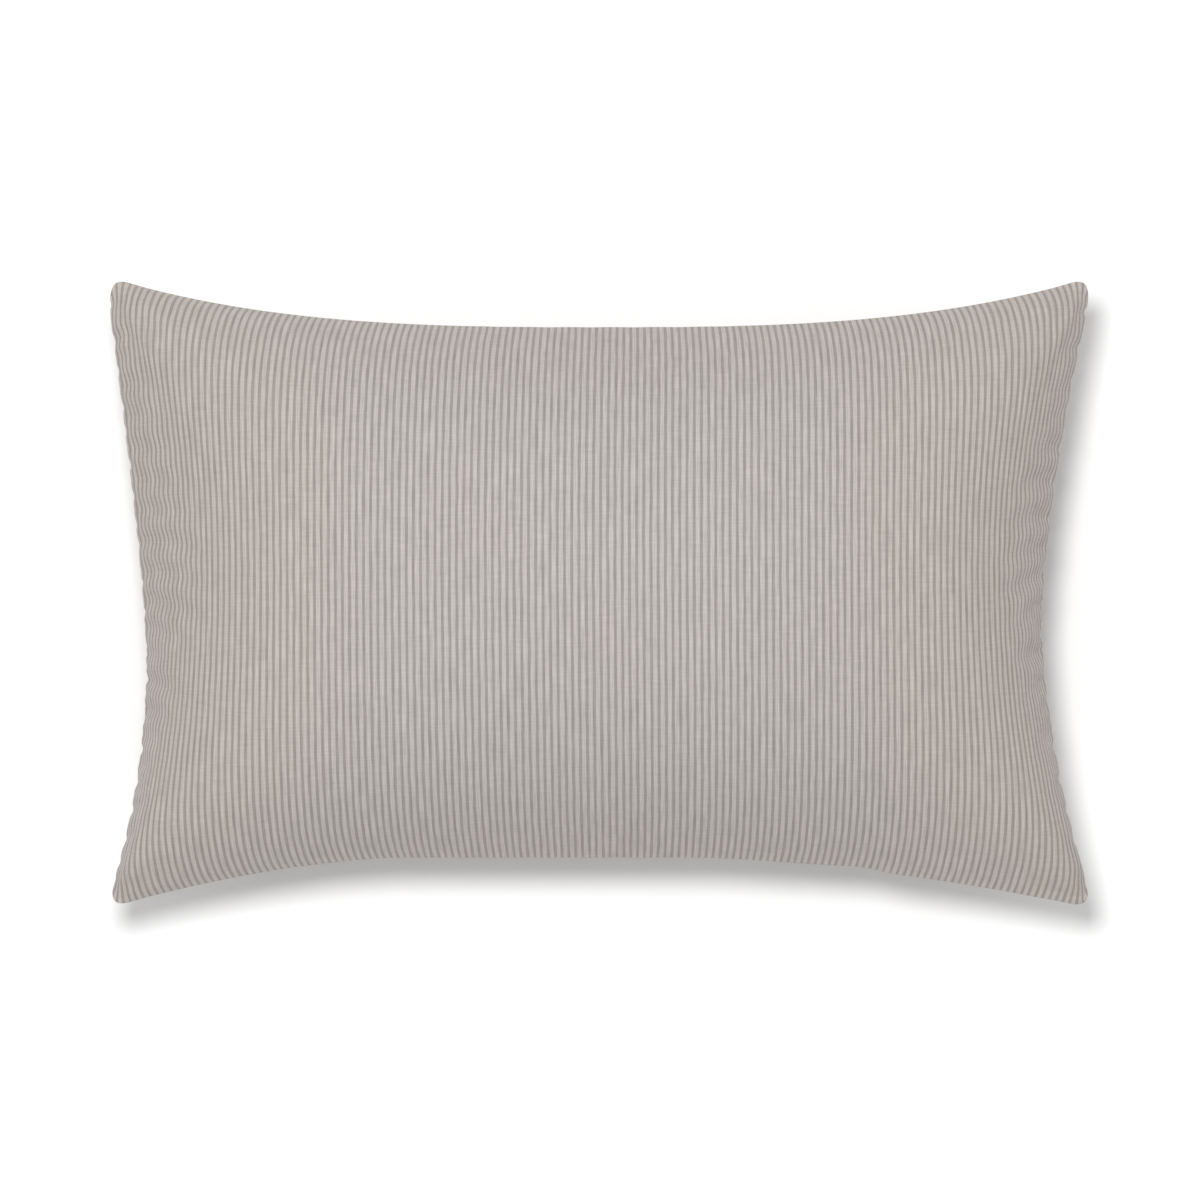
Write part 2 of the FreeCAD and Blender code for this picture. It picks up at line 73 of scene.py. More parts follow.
CUT_LENGTH, CUT_WIDTH = 0.559, 0.356      # the flat panels between seams: 22 by 14 inches
EASE = 1.009                              # how far filling stretches the cloth
LONG_SEAM_EASE = 0.974                    # the long seams are eased, so they don't pucker
CORNER_RADIUS = 12 * MM
STRIPES = 144                             # pairs of a light and a dark stripe
STRIPE = CUT_LENGTH / STRIPES

SIDE_PULL = 26 * MM                       # how far each long seam's middle is pulled in
LEFT_PULL, RIGHT_PULL = 21 * MM, 27.5 * MM

LIP_RADIUS = 0.8 * MM                     # the rolled edge of each panel at the seam
ALLOWANCE = 6 * MM

GATHER, FOLD, RIB = 1.3 * MM, 1.8 * MM, 0.15 * MM     # how deep the gathers, folds and ribs are

TAPE_DEPTH = 2.9 * MM                     # the zipper's tapes below the cover's face
LAP = 11 * MM                             # from the seam to the slit
SLIDER_DEPTH = 6 * MM                     # how deep the slider reaches below the cover's face
SLIT = 2.2 * MM
STITCH, STITCH_PITCH = 2.6 * MM, 3.1 * MM
PLACKET_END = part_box("zipper_bar_tacks")[1].x - 1 * MM
LABEL_COLUMNS, LABEL_ROWS = 24, 16        # how finely both labels are meshed

START_CROWN = 30 * MM                     # the filling starts from this height
PUSH, CALM, CREEP = 100, 800, 0.15        # pressure per missing height, less per rise, and creep
CARRIED, FASTEST = 0.95, 0.8 * MM         # speed kept from step to step, and its limit per step


def smooth(t):
    """0 below 0, 1 above 1, and a smooth step between."""
    t = np.clip(t, 0, 1)
    return t * t * (3 - 2 * t)


# ---------------------------------------------------------------- the zipper's own frame
# Local x runs along the zipper, y towards the seam, and z out of the cover.
hinge = next(j for j in frame["joints"] if j["name"] == "pull_hinge")
PULL_LIFT = 2.3 * MM
ACROSS = np.array(hinge["axis"], float)
OUT = np.cross([1.0, 0.0, 0.0], ACROSS)
TRACK = np.array([0.0, hinge["pos_m"][1], hinge["pos_m"][2]]) - PULL_LIFT * OUT


def on_track(x, y, z):
    """Points of the zipper's frame in the row frame."""
    x, y, z = np.broadcast_arrays(np.asarray(x, float), y, z)
    return TRACK + x[..., None] * [1.0, 0.0, 0.0] + y[..., None] * ACROSS + z[..., None] * OUT


# ---------------------------------------------------------------- filling the cover
def cut_points(u, v):
    """Flat position of the point at shares u, v of a panel, whose corners are rounded."""
    x, y = u * CUT_LENGTH / 2, v * CUT_WIDTH / 2
    straight_x, straight_y = CUT_LENGTH / 2 - CORNER_RADIUS, CUT_WIDTH / 2 - CORNER_RADIUS
    past_x = np.maximum(np.abs(x) - straight_x, 0) / CORNER_RADIUS
    past_y = np.maximum(np.abs(y) - straight_y, 0) / CORNER_RADIUS
    round_x = past_x * np.sqrt(1 - past_y ** 2 / 2)
    round_y = past_y * np.sqrt(1 - past_x ** 2 / 2)
    x = np.sign(x) * (np.minimum(np.abs(x), straight_x) + round_x * CORNER_RADIUS)
    y = np.sign(y) * (np.minimum(np.abs(y), straight_y) + round_y * CORNER_RADIUS)
    return x, y


def seam_distance(cut_x, cut_y):
    """Distance on the flat panel to its seam."""
    past_x = np.abs(cut_x) - (CUT_LENGTH / 2 - CORNER_RADIUS)
    past_y = np.abs(cut_y) - (CUT_WIDTH / 2 - CORNER_RADIUS)
    round_past = np.hypot(np.maximum(past_x, 0), np.maximum(past_y, 0))
    past = round_past + np.minimum(np.maximum(past_x, past_y), 0)
    return np.maximum(CORNER_RADIUS - past, 0)


def seam_plan(u, v, cut_x, cut_y):
    """Where the filled cover's seam lies in plan. Inside it, a smooth spread of the panel."""
    far = np.abs(u)
    lower_right = (np.maximum(far - 0.2, 0) / 0.8) ** 1.5
    lower_left = (np.maximum(far - 0.4, 0) / 0.6) ** 1.6
    lower = np.where(u > 0, lower_right, lower_left)
    pull = np.where(v > 0, 1 - far ** 2.85, 1 - lower) * SIDE_PULL
    left = LEFT_PULL * (1 - np.abs(v + 0.25 * (1 - v ** 2)) ** 1.65)
    right = RIGHT_PULL * (1 - np.abs(v + 0.1 * (1 - v ** 2)) ** 1.55)
    end = np.where(u > 0, right, left)
    x = u * (HALF_LENGTH - end * u ** 2)
    y = v * (HALF_WIDTH - pull * v ** 2)
    x = x * np.abs(cut_x) / np.maximum(np.abs(u) * CUT_LENGTH / 2, 1e-9)
    y = y * np.abs(cut_y) / np.maximum(np.abs(v) * CUT_WIDTH / 2, 1e-9)
    return x, y


def springs(cut_x, cut_y, v, stretch, shear):
    """Pairs of neighbouring points as slices, with their rest lengths and stiffness."""
    eased = 1 - (1 - LONG_SEAM_EASE) * np.abs(v) ** 8
    rest = np.stack([cut_x * eased, cut_y], -1) * EASE
    every = slice(None)
    found = []

    def add(a, b, stiffness):
        length = np.linalg.norm(rest[b] - rest[a], axis=-1)[None]
        found.append(((every,) + a, (every,) + b, length, stiffness))

    nx, ny = cut_x.shape
    for first in (0, 1):
        here, there = slice(first, nx - 1, 2), slice(first + 1, nx, 2)
        add((here, every), (there, every), stretch)
        add((every, slice(first, ny - 1, 2)), (every, slice(first + 1, ny, 2)), stretch)
        add((here, slice(0, ny - 1)), (there, slice(1, ny)), shear)
        add((here, slice(1, ny)), (there, slice(0, ny - 1)), shear)
    return found


def pull_springs(points, pairs):
    """Moves each pair of neighbours towards its rest length, in place."""
    for a, b, length, stiffness in pairs:
        step = points[b] - points[a]
        now = np.maximum(np.sqrt((step * step).sum(-1)), 1e-9)
        step *= (0.5 * stiffness * (now - length) / now)[..., None]
        points[a] += step
        points[b] -= step


def resist_bending(points, amount):
    """Straightens the grid's lines a little along both axes, in place."""
    for axis in (1, 2):
        lines = np.moveaxis(points, axis, 1)
        bend = 0.5 * (lines[:, :-2] + lines[:, 2:]) - lines[:, 1:-1]
        lines[:, 1:-1] += amount * bend
        lines[:, :-2] -= 0.5 * amount * bend
        lines[:, 2:] -= 0.5 * amount * bend


def area_normals(points):
    """Outward area vectors of both panels."""
    along, across = np.empty_like(points), np.empty_like(points)
    along[:, 1:-1] = 0.5 * (points[:, 2:] - points[:, :-2])
    along[:, 0], along[:, -1] = points[:, 1] - points[:, 0], points[:, -1] - points[:, -2]
    across[:, :, 1:-1] = 0.5 * (points[:, :, 2:] - points[:, :, :-2])
    across[:, :, 0] = points[:, :, 1] - points[:, :, 0]
    across[:, :, -1] = points[:, :, -1] - points[:, :, -2]
    normal = np.cross(along, across)
    normal[1] *= -1
    return normal


def fibre_share(u, v, cut_x, cut_y):
    """How much of the filling's pressure reaches each point of the front and of the back."""
    even = 1 - 0.15 * (u * v) ** 2                         # a little less fibre in the corners
    from_end, from_side = CUT_LENGTH / 2 - np.abs(cut_x), CUT_WIDTH / 2 - np.abs(cut_y)
    slack = 0.75 * (1 - np.minimum(smooth(from_end / (28 * MM)), smooth(from_side / (45 * MM))))
    slack *= 1 - 0.8 * (u * v) ** 2
    back_slack = slack * smooth((v + 0.8) / 0.3)           # the zipper's side stays full
    return np.stack([even * (1 - slack), even * (1 - back_slack)])


def zipper_hold(cut_x, cut_y):
    """The plane in which the zipper holds the back panel beside it, and how strongly."""
    from_seam = CUT_WIDTH / 2 + cut_y
    hold = 0.15 * smooth((PLACKET_END + 15 * MM - np.abs(cut_x)) / (25 * MM))
    hold = hold * smooth((26 * MM - from_seam) / (6 * MM)) * smooth(from_seam / (5 * MM))
    return on_track(cut_x, LAP + SLIT / 2 - from_seam, 0.0) - [0, 0, SEAM_Z], hold


def start_points(u, v, plan, cut):
    """Both panels slightly bulged, and uneven enough for puckers to start from."""
    random = np.random.default_rng(3)
    points = np.zeros((2,) + u.shape + (3,))
    points[..., :2] = plan * 0.985 + cut * 0.015
    bulge = START_CROWN * (1 - u ** 2) * (1 - v ** 2)
    points[0, ..., 2] = bulge + random.normal(0, 0.3 * MM, u.shape)
    points[1, ..., 2] = -bulge + random.normal(0, 0.3 * MM, u.shape)
    return points


def fill_cover(nx, ny, steps):
    """Two sewn panels, front and back, blown up from flat until the front's crown is as high
    as the frame's. The back rests on the floor. Returns points [2, nx, ny, 3]."""
    u, v = np.meshgrid(np.linspace(-1, 1, nx), np.linspace(-1, 1, ny), indexing="ij")
    cut_x, cut_y = cut_points(u, v)
    plan = np.stack(seam_plan(u, v, cut_x, cut_y), -1)
    points = start_points(u, v, plan, np.stack([cut_x, cut_y], -1))
    seam = (np.abs(u) == 1) | (np.abs(v) == 1)
    seam_place = plan[seam]
    pairs = springs(cut_x, cut_y, v, 1.0, 0.03)
    share = fibre_share(u, v, cut_x, cut_y)[..., None]
    wall, hold = zipper_hold(cut_x, cut_y)
    speed = np.zeros_like(points)
    top, steady, middle = START_CROWN, 0.0, (0, nx // 2, ny // 2, 2)
    for step in range(steps):
        goal = START_CROWN + (CROWN - START_CROWN) * min(1.0, step / (0.5 * steps))
        rise, top = points[middle] - top, points[middle]
        pressure = max(0.0, PUSH * (goal - top) - CALM * rise + steady)
        steady = max(0.0, steady + CREEP * (goal - top))
        speed = CARRIED * speed + pressure * area_normals(points) * share
        size = np.sqrt((speed * speed).sum(-1, keepdims=True))
        speed *= np.minimum(1, FASTEST / np.maximum(size, 1e-12))
        moved = points + speed
        resist_bending(moved, 0.01)
        for _ in range(2):
            pull_springs(moved, pairs)
            moved[:, seam] = moved[:, seam].mean(0)
        moved[:, seam, :2] += 0.1 * (seam_place - moved[:, seam, :2])
        moved[:, seam, 2] *= 0.95
        moved[1, ..., 1:] += hold[..., None] * (wall - moved[1])[..., 1:]
        moved[1, ..., 2] = np.maximum(moved[1, ..., 2], -SEAM_Z)
        speed, points = moved - points, moved
    corner = 2.6 * MM * (u * v) ** 6                       # calm_corners draws the tips in by this
    points[..., 0] += np.sign(u) * corner
    points[..., 1] += np.sign(v) * corner
    points[..., 2] += SEAM_Z
    return points


# ---------------------------------------------------------------- fine panels
def resample(points, rows, columns):
    """Catmull-Rom interpolation of a grid at fractional indices along both of its axes."""
    for axis, at in ((0, rows), (1, columns)):
        grid = np.moveaxis(points, axis, 0)
        last = len(grid) - 1
        cell = np.clip(np.floor(at).astype(int), 0, last - 1)
        t = (at - cell).reshape((-1,) + (1,) * (grid.ndim - 1))
        before, after = np.maximum(cell - 1, 0), np.minimum(cell + 2, last)
        a, b, c, d = grid[before], grid[cell], grid[cell + 1], grid[after]
        line = b + 0.5 * t * (c - a + t * (2 * a - 5 * b + 4 * c - d + t * (3 * (b - c) + d - a)))
        points = np.moveaxis(line, 0, axis)
    return points


def unit(vectors):
    """Vectors of the same directions with a length of 1."""
    return vectors / np.maximum(np.linalg.norm(vectors, axis=-1, keepdims=True), 1e-12)


def grid_normals(points, side):
    """Unit normals of one panel's grid, outwards: side is 1 for the front, -1 for the back."""
    return side * unit(np.cross(np.gradient(points, axis=0), np.gradient(points, axis=1)))


def ring_indices(nx, ny):
    """Grid indices of a panel's edge, once round, starting at its first corner."""
    up_x, up_y = np.arange(nx - 1), np.arange(ny - 1)
    down_x, down_y = np.arange(nx - 1, 0, -1), np.arange(ny - 1, 0, -1)
    i = np.concatenate([up_x, np.full(ny - 1, nx - 1), down_x, np.zeros(ny - 1, int)])
    j = np.concatenate([np.zeros(nx - 1, int), up_y, np.full(nx - 1, ny - 1), down_y])
    return i, j


def ring_outwards(ring):
    """Unit directions in plan that point out of a closed ring of points."""
    tangent = np.roll(ring, -3, 0) - np.roll(ring, 3, 0)
    return unit(np.stack([tangent[:, 1], -tangent[:, 0], 0 * tangent[:, 0]], -1))


def gathers(y, depth, spacing, seed):
    """Creases that run in from a short seam: 0 between them, down to -1 along each."""
    random = np.random.default_rng(seed)
    total = np.zeros_like(y)
    at = -CUT_WIDTH / 2 + random.uniform(0.4, 0.8) * spacing
    while at < CUT_WIDTH / 2:
        slant, strength = random.uniform(-0.35, 0.35), random.uniform(0.35, 1.0)
        width = 2.6 * MM + 0.14 * depth
        reach = random.uniform(10, 22) * MM
        total -= strength * np.exp(-((y - at - slant * depth) / width) ** 2 - depth / reach)
        at += spacing * random.uniform(0.7, 1.35)
    return np.maximum(total, -1)


def drag_folds(cut_x, cut_y, seed):
    """Soft folds that run from each corner into the panel: 0 between them, down to -1."""
    random = np.random.default_rng(seed)
    total = np.zeros_like(cut_x)
    for end_x in (-1, 1):
        for end_y in (-1, 1):
            in_x, in_y = CUT_LENGTH / 2 - end_x * cut_x, CUT_WIDTH / 2 - end_y * cut_y
            for share in (0.25, 0.5, 0.75):
                angle = math.pi / 2 * (share + random.uniform(-0.08, 0.08))
                along = in_x * math.cos(angle) + in_y * math.sin(angle)
                across = in_y * math.cos(angle) - in_x * math.sin(angle)
                width = 3.4 * MM + 0.06 * np.maximum(along, 0)
                length = random.uniform(50, 95) * MM
                shape = smooth(along / (40 * MM)) * np.exp(-(np.maximum(along, 0) / length) ** 2)
                total -= random.uniform(0.4, 1.0) * shape * np.exp(-(across / width) ** 2)
    return np.maximum(total, -1)


def calm_corners(points, cut_x, cut_y):
    """Evens out the grid's four corners, where rounding the cut squeezes its cells."""
    reach = np.hypot(CUT_LENGTH / 2 - np.abs(cut_x), CUT_WIDTH / 2 - np.abs(cut_y))
    share = 0.7 * smooth((28 * MM - reach) / (16 * MM))[..., None]
    points = points.copy()
    i, j = ring_indices(*points.shape[:2])
    for _ in range(60):
        rim = points[i, j]
        points[i, j] += share[i, j] * ((np.roll(rim, 1, 0) + np.roll(rim, -1, 0)) / 2 - rim)
    share = share[1:-1, 1:-1]
    for _ in range(60):
        around = points[:-2, 1:-1] + points[2:, 1:-1] + points[1:-1, :-2] + points[1:-1, 2:]
        points[1:-1, 1:-1] += share * (around / 4 - points[1:-1, 1:-1])
    return points


def dress(points, cut_x, cut_y, side):
    """Adds what is too fine for the solver: ribs, gathers, folds and the raised seam edge."""
    edge_x, edge_y = CUT_LENGTH / 2 - np.abs(cut_x), CUT_WIDTH / 2 - np.abs(cut_y)
    to_seam = seam_distance(cut_x, cut_y)
    left, right = gathers(cut_y, edge_x, 17 * MM, 5), gathers(cut_y, edge_x, 21 * MM, 8)
    crease = np.where(cut_x < 0, 0.8 * left, right) * smooth(edge_y / (22 * MM))
    normal = grid_normals(points, side)
    folds = drag_folds(cut_x, cut_y, 4 if side > 0 else 6)
    points = points + normal * (GATHER * crease + FOLD * folds)[..., None]
    points[..., 0] += np.sign(cut_x) * 0.6 * MM * crease * np.exp(-edge_x / (6 * MM))
    rib = 0.5 + 0.5 * np.cos(2 * math.pi * cut_x / STRIPE)
    relief = RIB * rib * (0.45 + 0.55 * smooth(to_seam / (4 * MM)))
    points = points + normal * relief[..., None]
    lift = (LIP_RADIUS * 1.35 + 0.05 * MM) * np.exp(-to_seam / (3 * MM))
    points[..., 2] += side * lift
    return points


def roll_under(points, side):
    """Rows that roll a panel's edge under to the seam and run inwards as its allowance."""
    nx, ny = points.shape[:2]
    i, j = ring_indices(nx, ny)
    rim = points[i, j]
    inner = points[np.clip(i, 1, nx - 2), np.clip(j, 1, ny - 2)]
    outward = ring_outwards(rim)
    slope = rim - inner
    flat_step = np.abs((slope * outward).sum(-1))
    steep = np.arctan2(side * -slope[:, 2], np.maximum(flat_step, 1e-6))
    steep = np.clip(steep, 0.3, 1.35)
    for _ in range(12):
        steep = (np.roll(steep, 1) + steep + np.roll(steep, -1)) / 3
    up = np.array([0.0, 0.0, side])
    centre = rim - LIP_RADIUS * (np.sin(steep)[:, None] * outward + np.cos(steep)[:, None] * up)
    rows = []
    for share in (0.2, 0.4, 0.6, 0.8, 1.0):
        turn = steep + share * (math.pi - steep)
        rows.append(centre + LIP_RADIUS * (np.sin(turn)[:, None] * outward + np.cos(turn)[:, None] * up))
    for depth in (0.35, 1.0):
        shrink = 1 - depth * ALLOWANCE / np.array([HALF_LENGTH, HALF_WIDTH, np.inf])
        rows.append(rows[4] * shrink + 0.1 * MM * depth * up)
    return np.stack(rows, 1)


def hem(edge, towards, depth):
    """Rows that fold a slit's edge inwards: towards is the direction across the slit."""
    radius = 0.45 * MM
    centre = edge - radius * OUT
    rows = []
    for turn in np.linspace(0, math.pi, 6)[1:]:
        rows.append(centre + radius * (math.cos(turn) * OUT + math.sin(turn) * towards))
    rows.append(rows[-1] - depth * towards)
    return np.stack(rows, 1)


def quads_of(index):
    """Quads of a grid of vertex indices."""
    return np.stack([index[:-1, :-1], index[1:, :-1], index[1:, 1:], index[:-1, 1:]], -1).reshape(-1, 4)


def make_mesh(name, points, faces, uv=None):
    """An object from arrays of points, quads and, for each point, a place on the flat cloth."""
    mesh = bpy.data.meshes.new(name)
    mesh.vertices.add(len(points))
    mesh.vertices.foreach_set("co", np.asarray(points, np.float32).ravel())
    sides = faces.shape[1]
    mesh.loops.add(faces.size)
    mesh.loops.foreach_set("vertex_index", faces.astype(np.int32).ravel())
    mesh.polygons.add(len(faces))
    mesh.polygons.foreach_set("loop_start", np.arange(0, faces.size, sides, dtype=np.int32))
    mesh.update(calc_edges=True)
    mesh.validate()
    mesh.polygons.foreach_set("use_smooth", [True] * len(mesh.polygons))
    if uv is not None:
        layer = mesh.uv_layers.new(name="Cut")
        layer.data.foreach_set("uv", np.asarray(uv, np.float32)[faces.ravel()].ravel())
    made = bpy.data.objects.new(name, mesh)
    bpy.context.scene.collection.objects.link(made)
    return made


def lay_on_wall(points, cut_x, from_seam):
    """Draws the back panel's strip along the zipper onto the zipper's own plane."""
    flat = smooth((PLACKET_END + 18 * MM - np.abs(cut_x)) / (16 * MM))
    flat = flat * smooth((24 * MM - from_seam) / (6 * MM)) * smooth((from_seam - 1.5 * MM) / (4 * MM))
    wall = on_track(points[..., 0], LAP + SLIT / 2 - from_seam, 0.0)
    return points + flat[..., None] * (wall - points)


class Panel:
    """A panel's grid, with the strips of cloth that hang from its edges."""

    def __init__(self, points, cut):
        self.grid, self.cut = points, cut
        self.index = np.arange(cut[..., 0].size).reshape(cut.shape[:2])
        self.points, self.uv = [points.reshape(-1, 3)], [cut.reshape(-1, 2)]
        self.faces, self.count = [], self.index.size

    def add_strip(self, i, j, rows, flip, closed=False):
        """Joins rows of new points to the grid's points i, j."""
        new = self.count + np.arange(rows[..., 0].size).reshape(rows.shape[:2])
        strip = np.concatenate([self.index[i, j][:, None], new], 1)
        if closed:
            strip = np.concatenate([strip, strip[:1]])
        quads = quads_of(strip)
        self.faces.append(quads[:, ::-1] if flip else quads)
        self.points.append(rows.reshape(-1, 3))
        self.uv.append(np.repeat(self.cut[i, j], rows.shape[1], 0))
        self.count += rows[..., 0].size

    def open_slit(self, row):
        """Hems the slit above and below one row of cells, and tells which of its cells are open."""
        middle = np.abs(self.grid[:-1, row, 0] + self.grid[1:, row, 0]) / 2
        is_open = middle < PLACKET_END - 0.5 * MM
        low, high = np.flatnonzero(is_open)[[0, -1]] + [0, 1]
        span = np.arange(low, high + 1)
        for at, towards in ((row, -ACROSS), (row + 1, ACROSS)):
            self.add_strip(span, at, hem(self.grid[span, at], towards, 5 * MM), flip=at > row)
        return is_open

    def make(self, name):
        """The panel as an object."""
        faces, uv = np.concatenate(self.faces), np.concatenate(self.uv)
        return make_mesh(name, np.concatenate(self.points), faces, uv)


def make_panel(name, coarse, side, columns, row_edges):
    """A fine panel with its ribs, gathers, rolled edge and allowance. The back's has the slit."""
    nx, ny = coarse.shape[:2]
    x_share, y_share = np.linspace(-1, 1, columns), row_edges / (CUT_WIDTH / 2)
    u, v = np.meshgrid(x_share, y_share, indexing="ij")
    cut_x, cut_y = cut_points(u, v)
    points = resample(coarse, (x_share + 1) / 2 * (nx - 1), (y_share + 1) / 2 * (ny - 1))
    if side < 0:
        points = lay_on_wall(points, cut_x, CUT_WIDTH / 2 + cut_y)
    points = dress(calm_corners(points, cut_x, cut_y), cut_x, cut_y, side)
    if side < 0:
        points[..., 2] = np.maximum(points[..., 2], 0)
    panel = Panel(points, np.stack([cut_x, cut_y], -1))
    keep = np.ones((columns - 1, len(row_edges) - 1), bool)
    if side < 0:
        slit_row = int(np.argmin(np.abs(row_edges + CUT_WIDTH / 2 - LAP)))
        keep[panel.open_slit(slit_row), slit_row] = False
    quads = quads_of(panel.index)[keep.ravel()]
    panel.faces.append(quads if side > 0 else quads[:, ::-1])
    panel.add_strip(*ring_indices(*u.shape), roll_under(points, side), flip=side > 0, closed=True)
    return panel.make(name), points


# ---------------------------------------------------------------- threads and coils
def tube_mesh(name, centres, first, second, radii, sides=6):
    """Tubes along many paths at once: centres [n, k, 3], two unit axes per point, radii [n, k]."""
    n, k = centres.shape[:2]
    turn = np.linspace(0, 2 * math.pi, sides, endpoint=False)[:, None]
    ring = np.cos(turn) * first[:, :, None] + np.sin(turn) * second[:, :, None]
    points = centres[:, :, None] + ring * radii[..., None, None]
    index = np.arange(n * k * sides).reshape(n, k, sides)
    index = np.concatenate([index, index[..., :1]], -1)
    quads = np.stack([index[:, :-1, :-1], index[:, 1:, :-1], index[:, 1:, 1:], index[:, :-1, 1:]], -1)
    return make_mesh(name, points.reshape(-1, 3), quads.reshape(-1, 4)[:, ::-1])


def travel(path):
    """Distance along a polyline at each of its points."""
    return np.concatenate([[0], np.cumsum(np.linalg.norm(np.diff(path, axis=0), axis=-1))])


def along(path, values, distances):
    """What values, kept at a polyline's points, come to at distances along it."""
    travelled = travel(path)
    return np.stack([np.interp(distances, travelled, values[:, k]) for k in range(3)], -1)


def stitch_row(name, path, outwards, length, pitch, radius, bow):
    """Lockstitches along a path: short threads that dip into the cloth at both ends."""
    starts = np.arange(0, travel(path)[-1] - length, pitch)
    t = np.linspace(0, 1, 7)
    at = (starts[:, None] + t * length).ravel()
    centres = along(path, path, at).reshape(len(starts), len(t), 3)
    out = unit(along(path, outwards, at)).reshape(centres.shape)
    centres = centres + out * (bow * np.sin(math.pi * t) ** 0.7 - 0.25 * bow)[None, :, None]
    ahead = unit(np.gradient(centres, axis=1))
    side_axis = unit(np.cross(ahead, out))
    up_axis = np.cross(side_axis, ahead)
    radii = np.broadcast_to(radius * np.sqrt(np.clip(1 - (2 * t - 1) ** 6, 0.02, 1)), centres.shape[:2])
    return tube_mesh(name, centres, side_axis, up_axis, radii)


def make_coil(name, node, side):
    """One row of the zipper's nylon coil: a wound thread, flattened where it grips."""
    low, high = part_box(node)
    wire, pitch = 0.27 * MM, 1.25 * MM
    half_width, half_height = 0.78 * MM, 0.46 * MM
    turns = int((high.x - low.x) / pitch) - 1
    t = np.linspace(0, turns, turns * 12 + 1)
    angle = 2 * math.pi * t
    x = low.x + pitch / 2 + t * pitch + (0 if side > 0 else pitch / 2)
    across = side * (1.62 * MM - half_width * np.cos(angle))
    depth = -TAPE_DEPTH - 0.5 * MM - 0.75 * MM + half_height * np.sin(angle)
    centres = on_track(x, across, depth)[None]
    ahead = unit(np.gradient(centres, axis=1))
    first = unit(np.cross(ahead, np.broadcast_to([1.0, 0.05, 0.0], ahead.shape)))
    return tube_mesh(name, centres, first, np.cross(ahead, first), np.full(centres.shape[:2], wire))


def make_bar_tacks():
    """Dense satin stitches that close the slit's two ends."""
    centres = []
    for end in (-1, 1):
        for k in range(9):
            t = np.linspace(-1, 1, 7)
            x = end * PLACKET_END + (k - 4) * 0.24 * MM + 0.1 * MM * t
            centres.append(on_track(x, t * 3.4 * MM, 0.35 * MM - 0.35 * MM * t ** 4))
    centres = np.array(centres)
    ahead = unit(np.gradient(centres, axis=1))
    first = unit(np.cross(ahead, np.broadcast_to(OUT, ahead.shape)))
    radii = np.full(centres.shape[:2], 0.16 * MM)
    return tube_mesh("bar_tacks", centres, first, np.cross(first, ahead), radii)


# ---------------------------------------------------------------- insert and labels
def clear_zipper(points, gap):
    """Moves points inwards beside the zipper, so that the slider has room to run."""
    offset = points - TRACK
    across, depth = offset @ ACROSS, offset @ OUT
    near = smooth((PLACKET_END + 18 * MM - np.abs(points[..., 0])) / (16 * MM))
    near = near * smooth((across + 28 * MM) / (18 * MM))
    push = near * np.maximum(depth + SLIDER_DEPTH + gap, 0)
    return points - push[..., None] * OUT


def shell_points(cover, inset, gap, columns, rows, soften):
    """Both sides of a closed form inside the cover: inset is taken along the cloth from the
    seams, gap is the clearance to the cover, and soften rounds its own seam."""
    nx, ny = cover.shape[1:3]
    x_share = np.linspace(-1, 1, columns) * (1 - 2 * inset / CUT_LENGTH)
    y_share = np.linspace(-1, 1, rows) * (1 - 2 * inset / CUT_WIDTH)
    at_x, at_y = (x_share + 1) / 2 * (nx - 1), (y_share + 1) / 2 * (ny - 1)
    u, v = np.meshgrid(np.linspace(-1, 1, columns), np.linspace(-1, 1, rows), indexing="ij")
    to_edge = np.minimum((1 - np.abs(u)) * CUT_LENGTH / 2, (1 - np.abs(v)) * CUT_WIDTH / 2)
    rise = np.sqrt(1 - (1 - np.clip(to_edge / soften, 0, 1)) ** 2)
    both = []
    for k, side in ((0, 1), (1, -1)):
        points = resample(cover[k], at_x, at_y)
        points = points - gap * grid_normals(points, side)
        points[..., 2] = SEAM_Z + (points[..., 2] - SEAM_Z) * rise
        both.append(points)
    plan = 0.5 * (both[0] + both[1])
    for points in both:
        points[..., :2] = plan[..., :2] + (points - plan)[..., :2] * rise[..., None]
    return [clear_zipper(points, gap) for points in both], u, v


def make_casing(cover):
    """The insert's two panels and its seam's stitches, and the back panel's points."""
    (front, back), u, v = shell_points(cover, 17 * MM, 2.2 * MM, 150, 96, 26 * MM)
    quads = quads_of(np.arange(u.size).reshape(u.shape))
    uv = np.stack([u * CUT_LENGTH / 2, v * CUT_WIDTH / 2], -1).reshape(-1, 2)
    insert_front = make_mesh("insert_front", front.reshape(-1, 3), quads, uv)
    insert_back = make_mesh("insert_back", back.reshape(-1, 3), quads[:, ::-1], uv)
    path = front[ring_indices(*u.shape)]
    path = np.concatenate([path, path[:1]])
    outwards = unit(path * [1, 1, 0])
    seam = stitch_row("insert_stitches", path, outwards, 3 * MM, 3.6 * MM, 0.18 * MM, 0.2 * MM)
    return insert_front, insert_back, seam, back


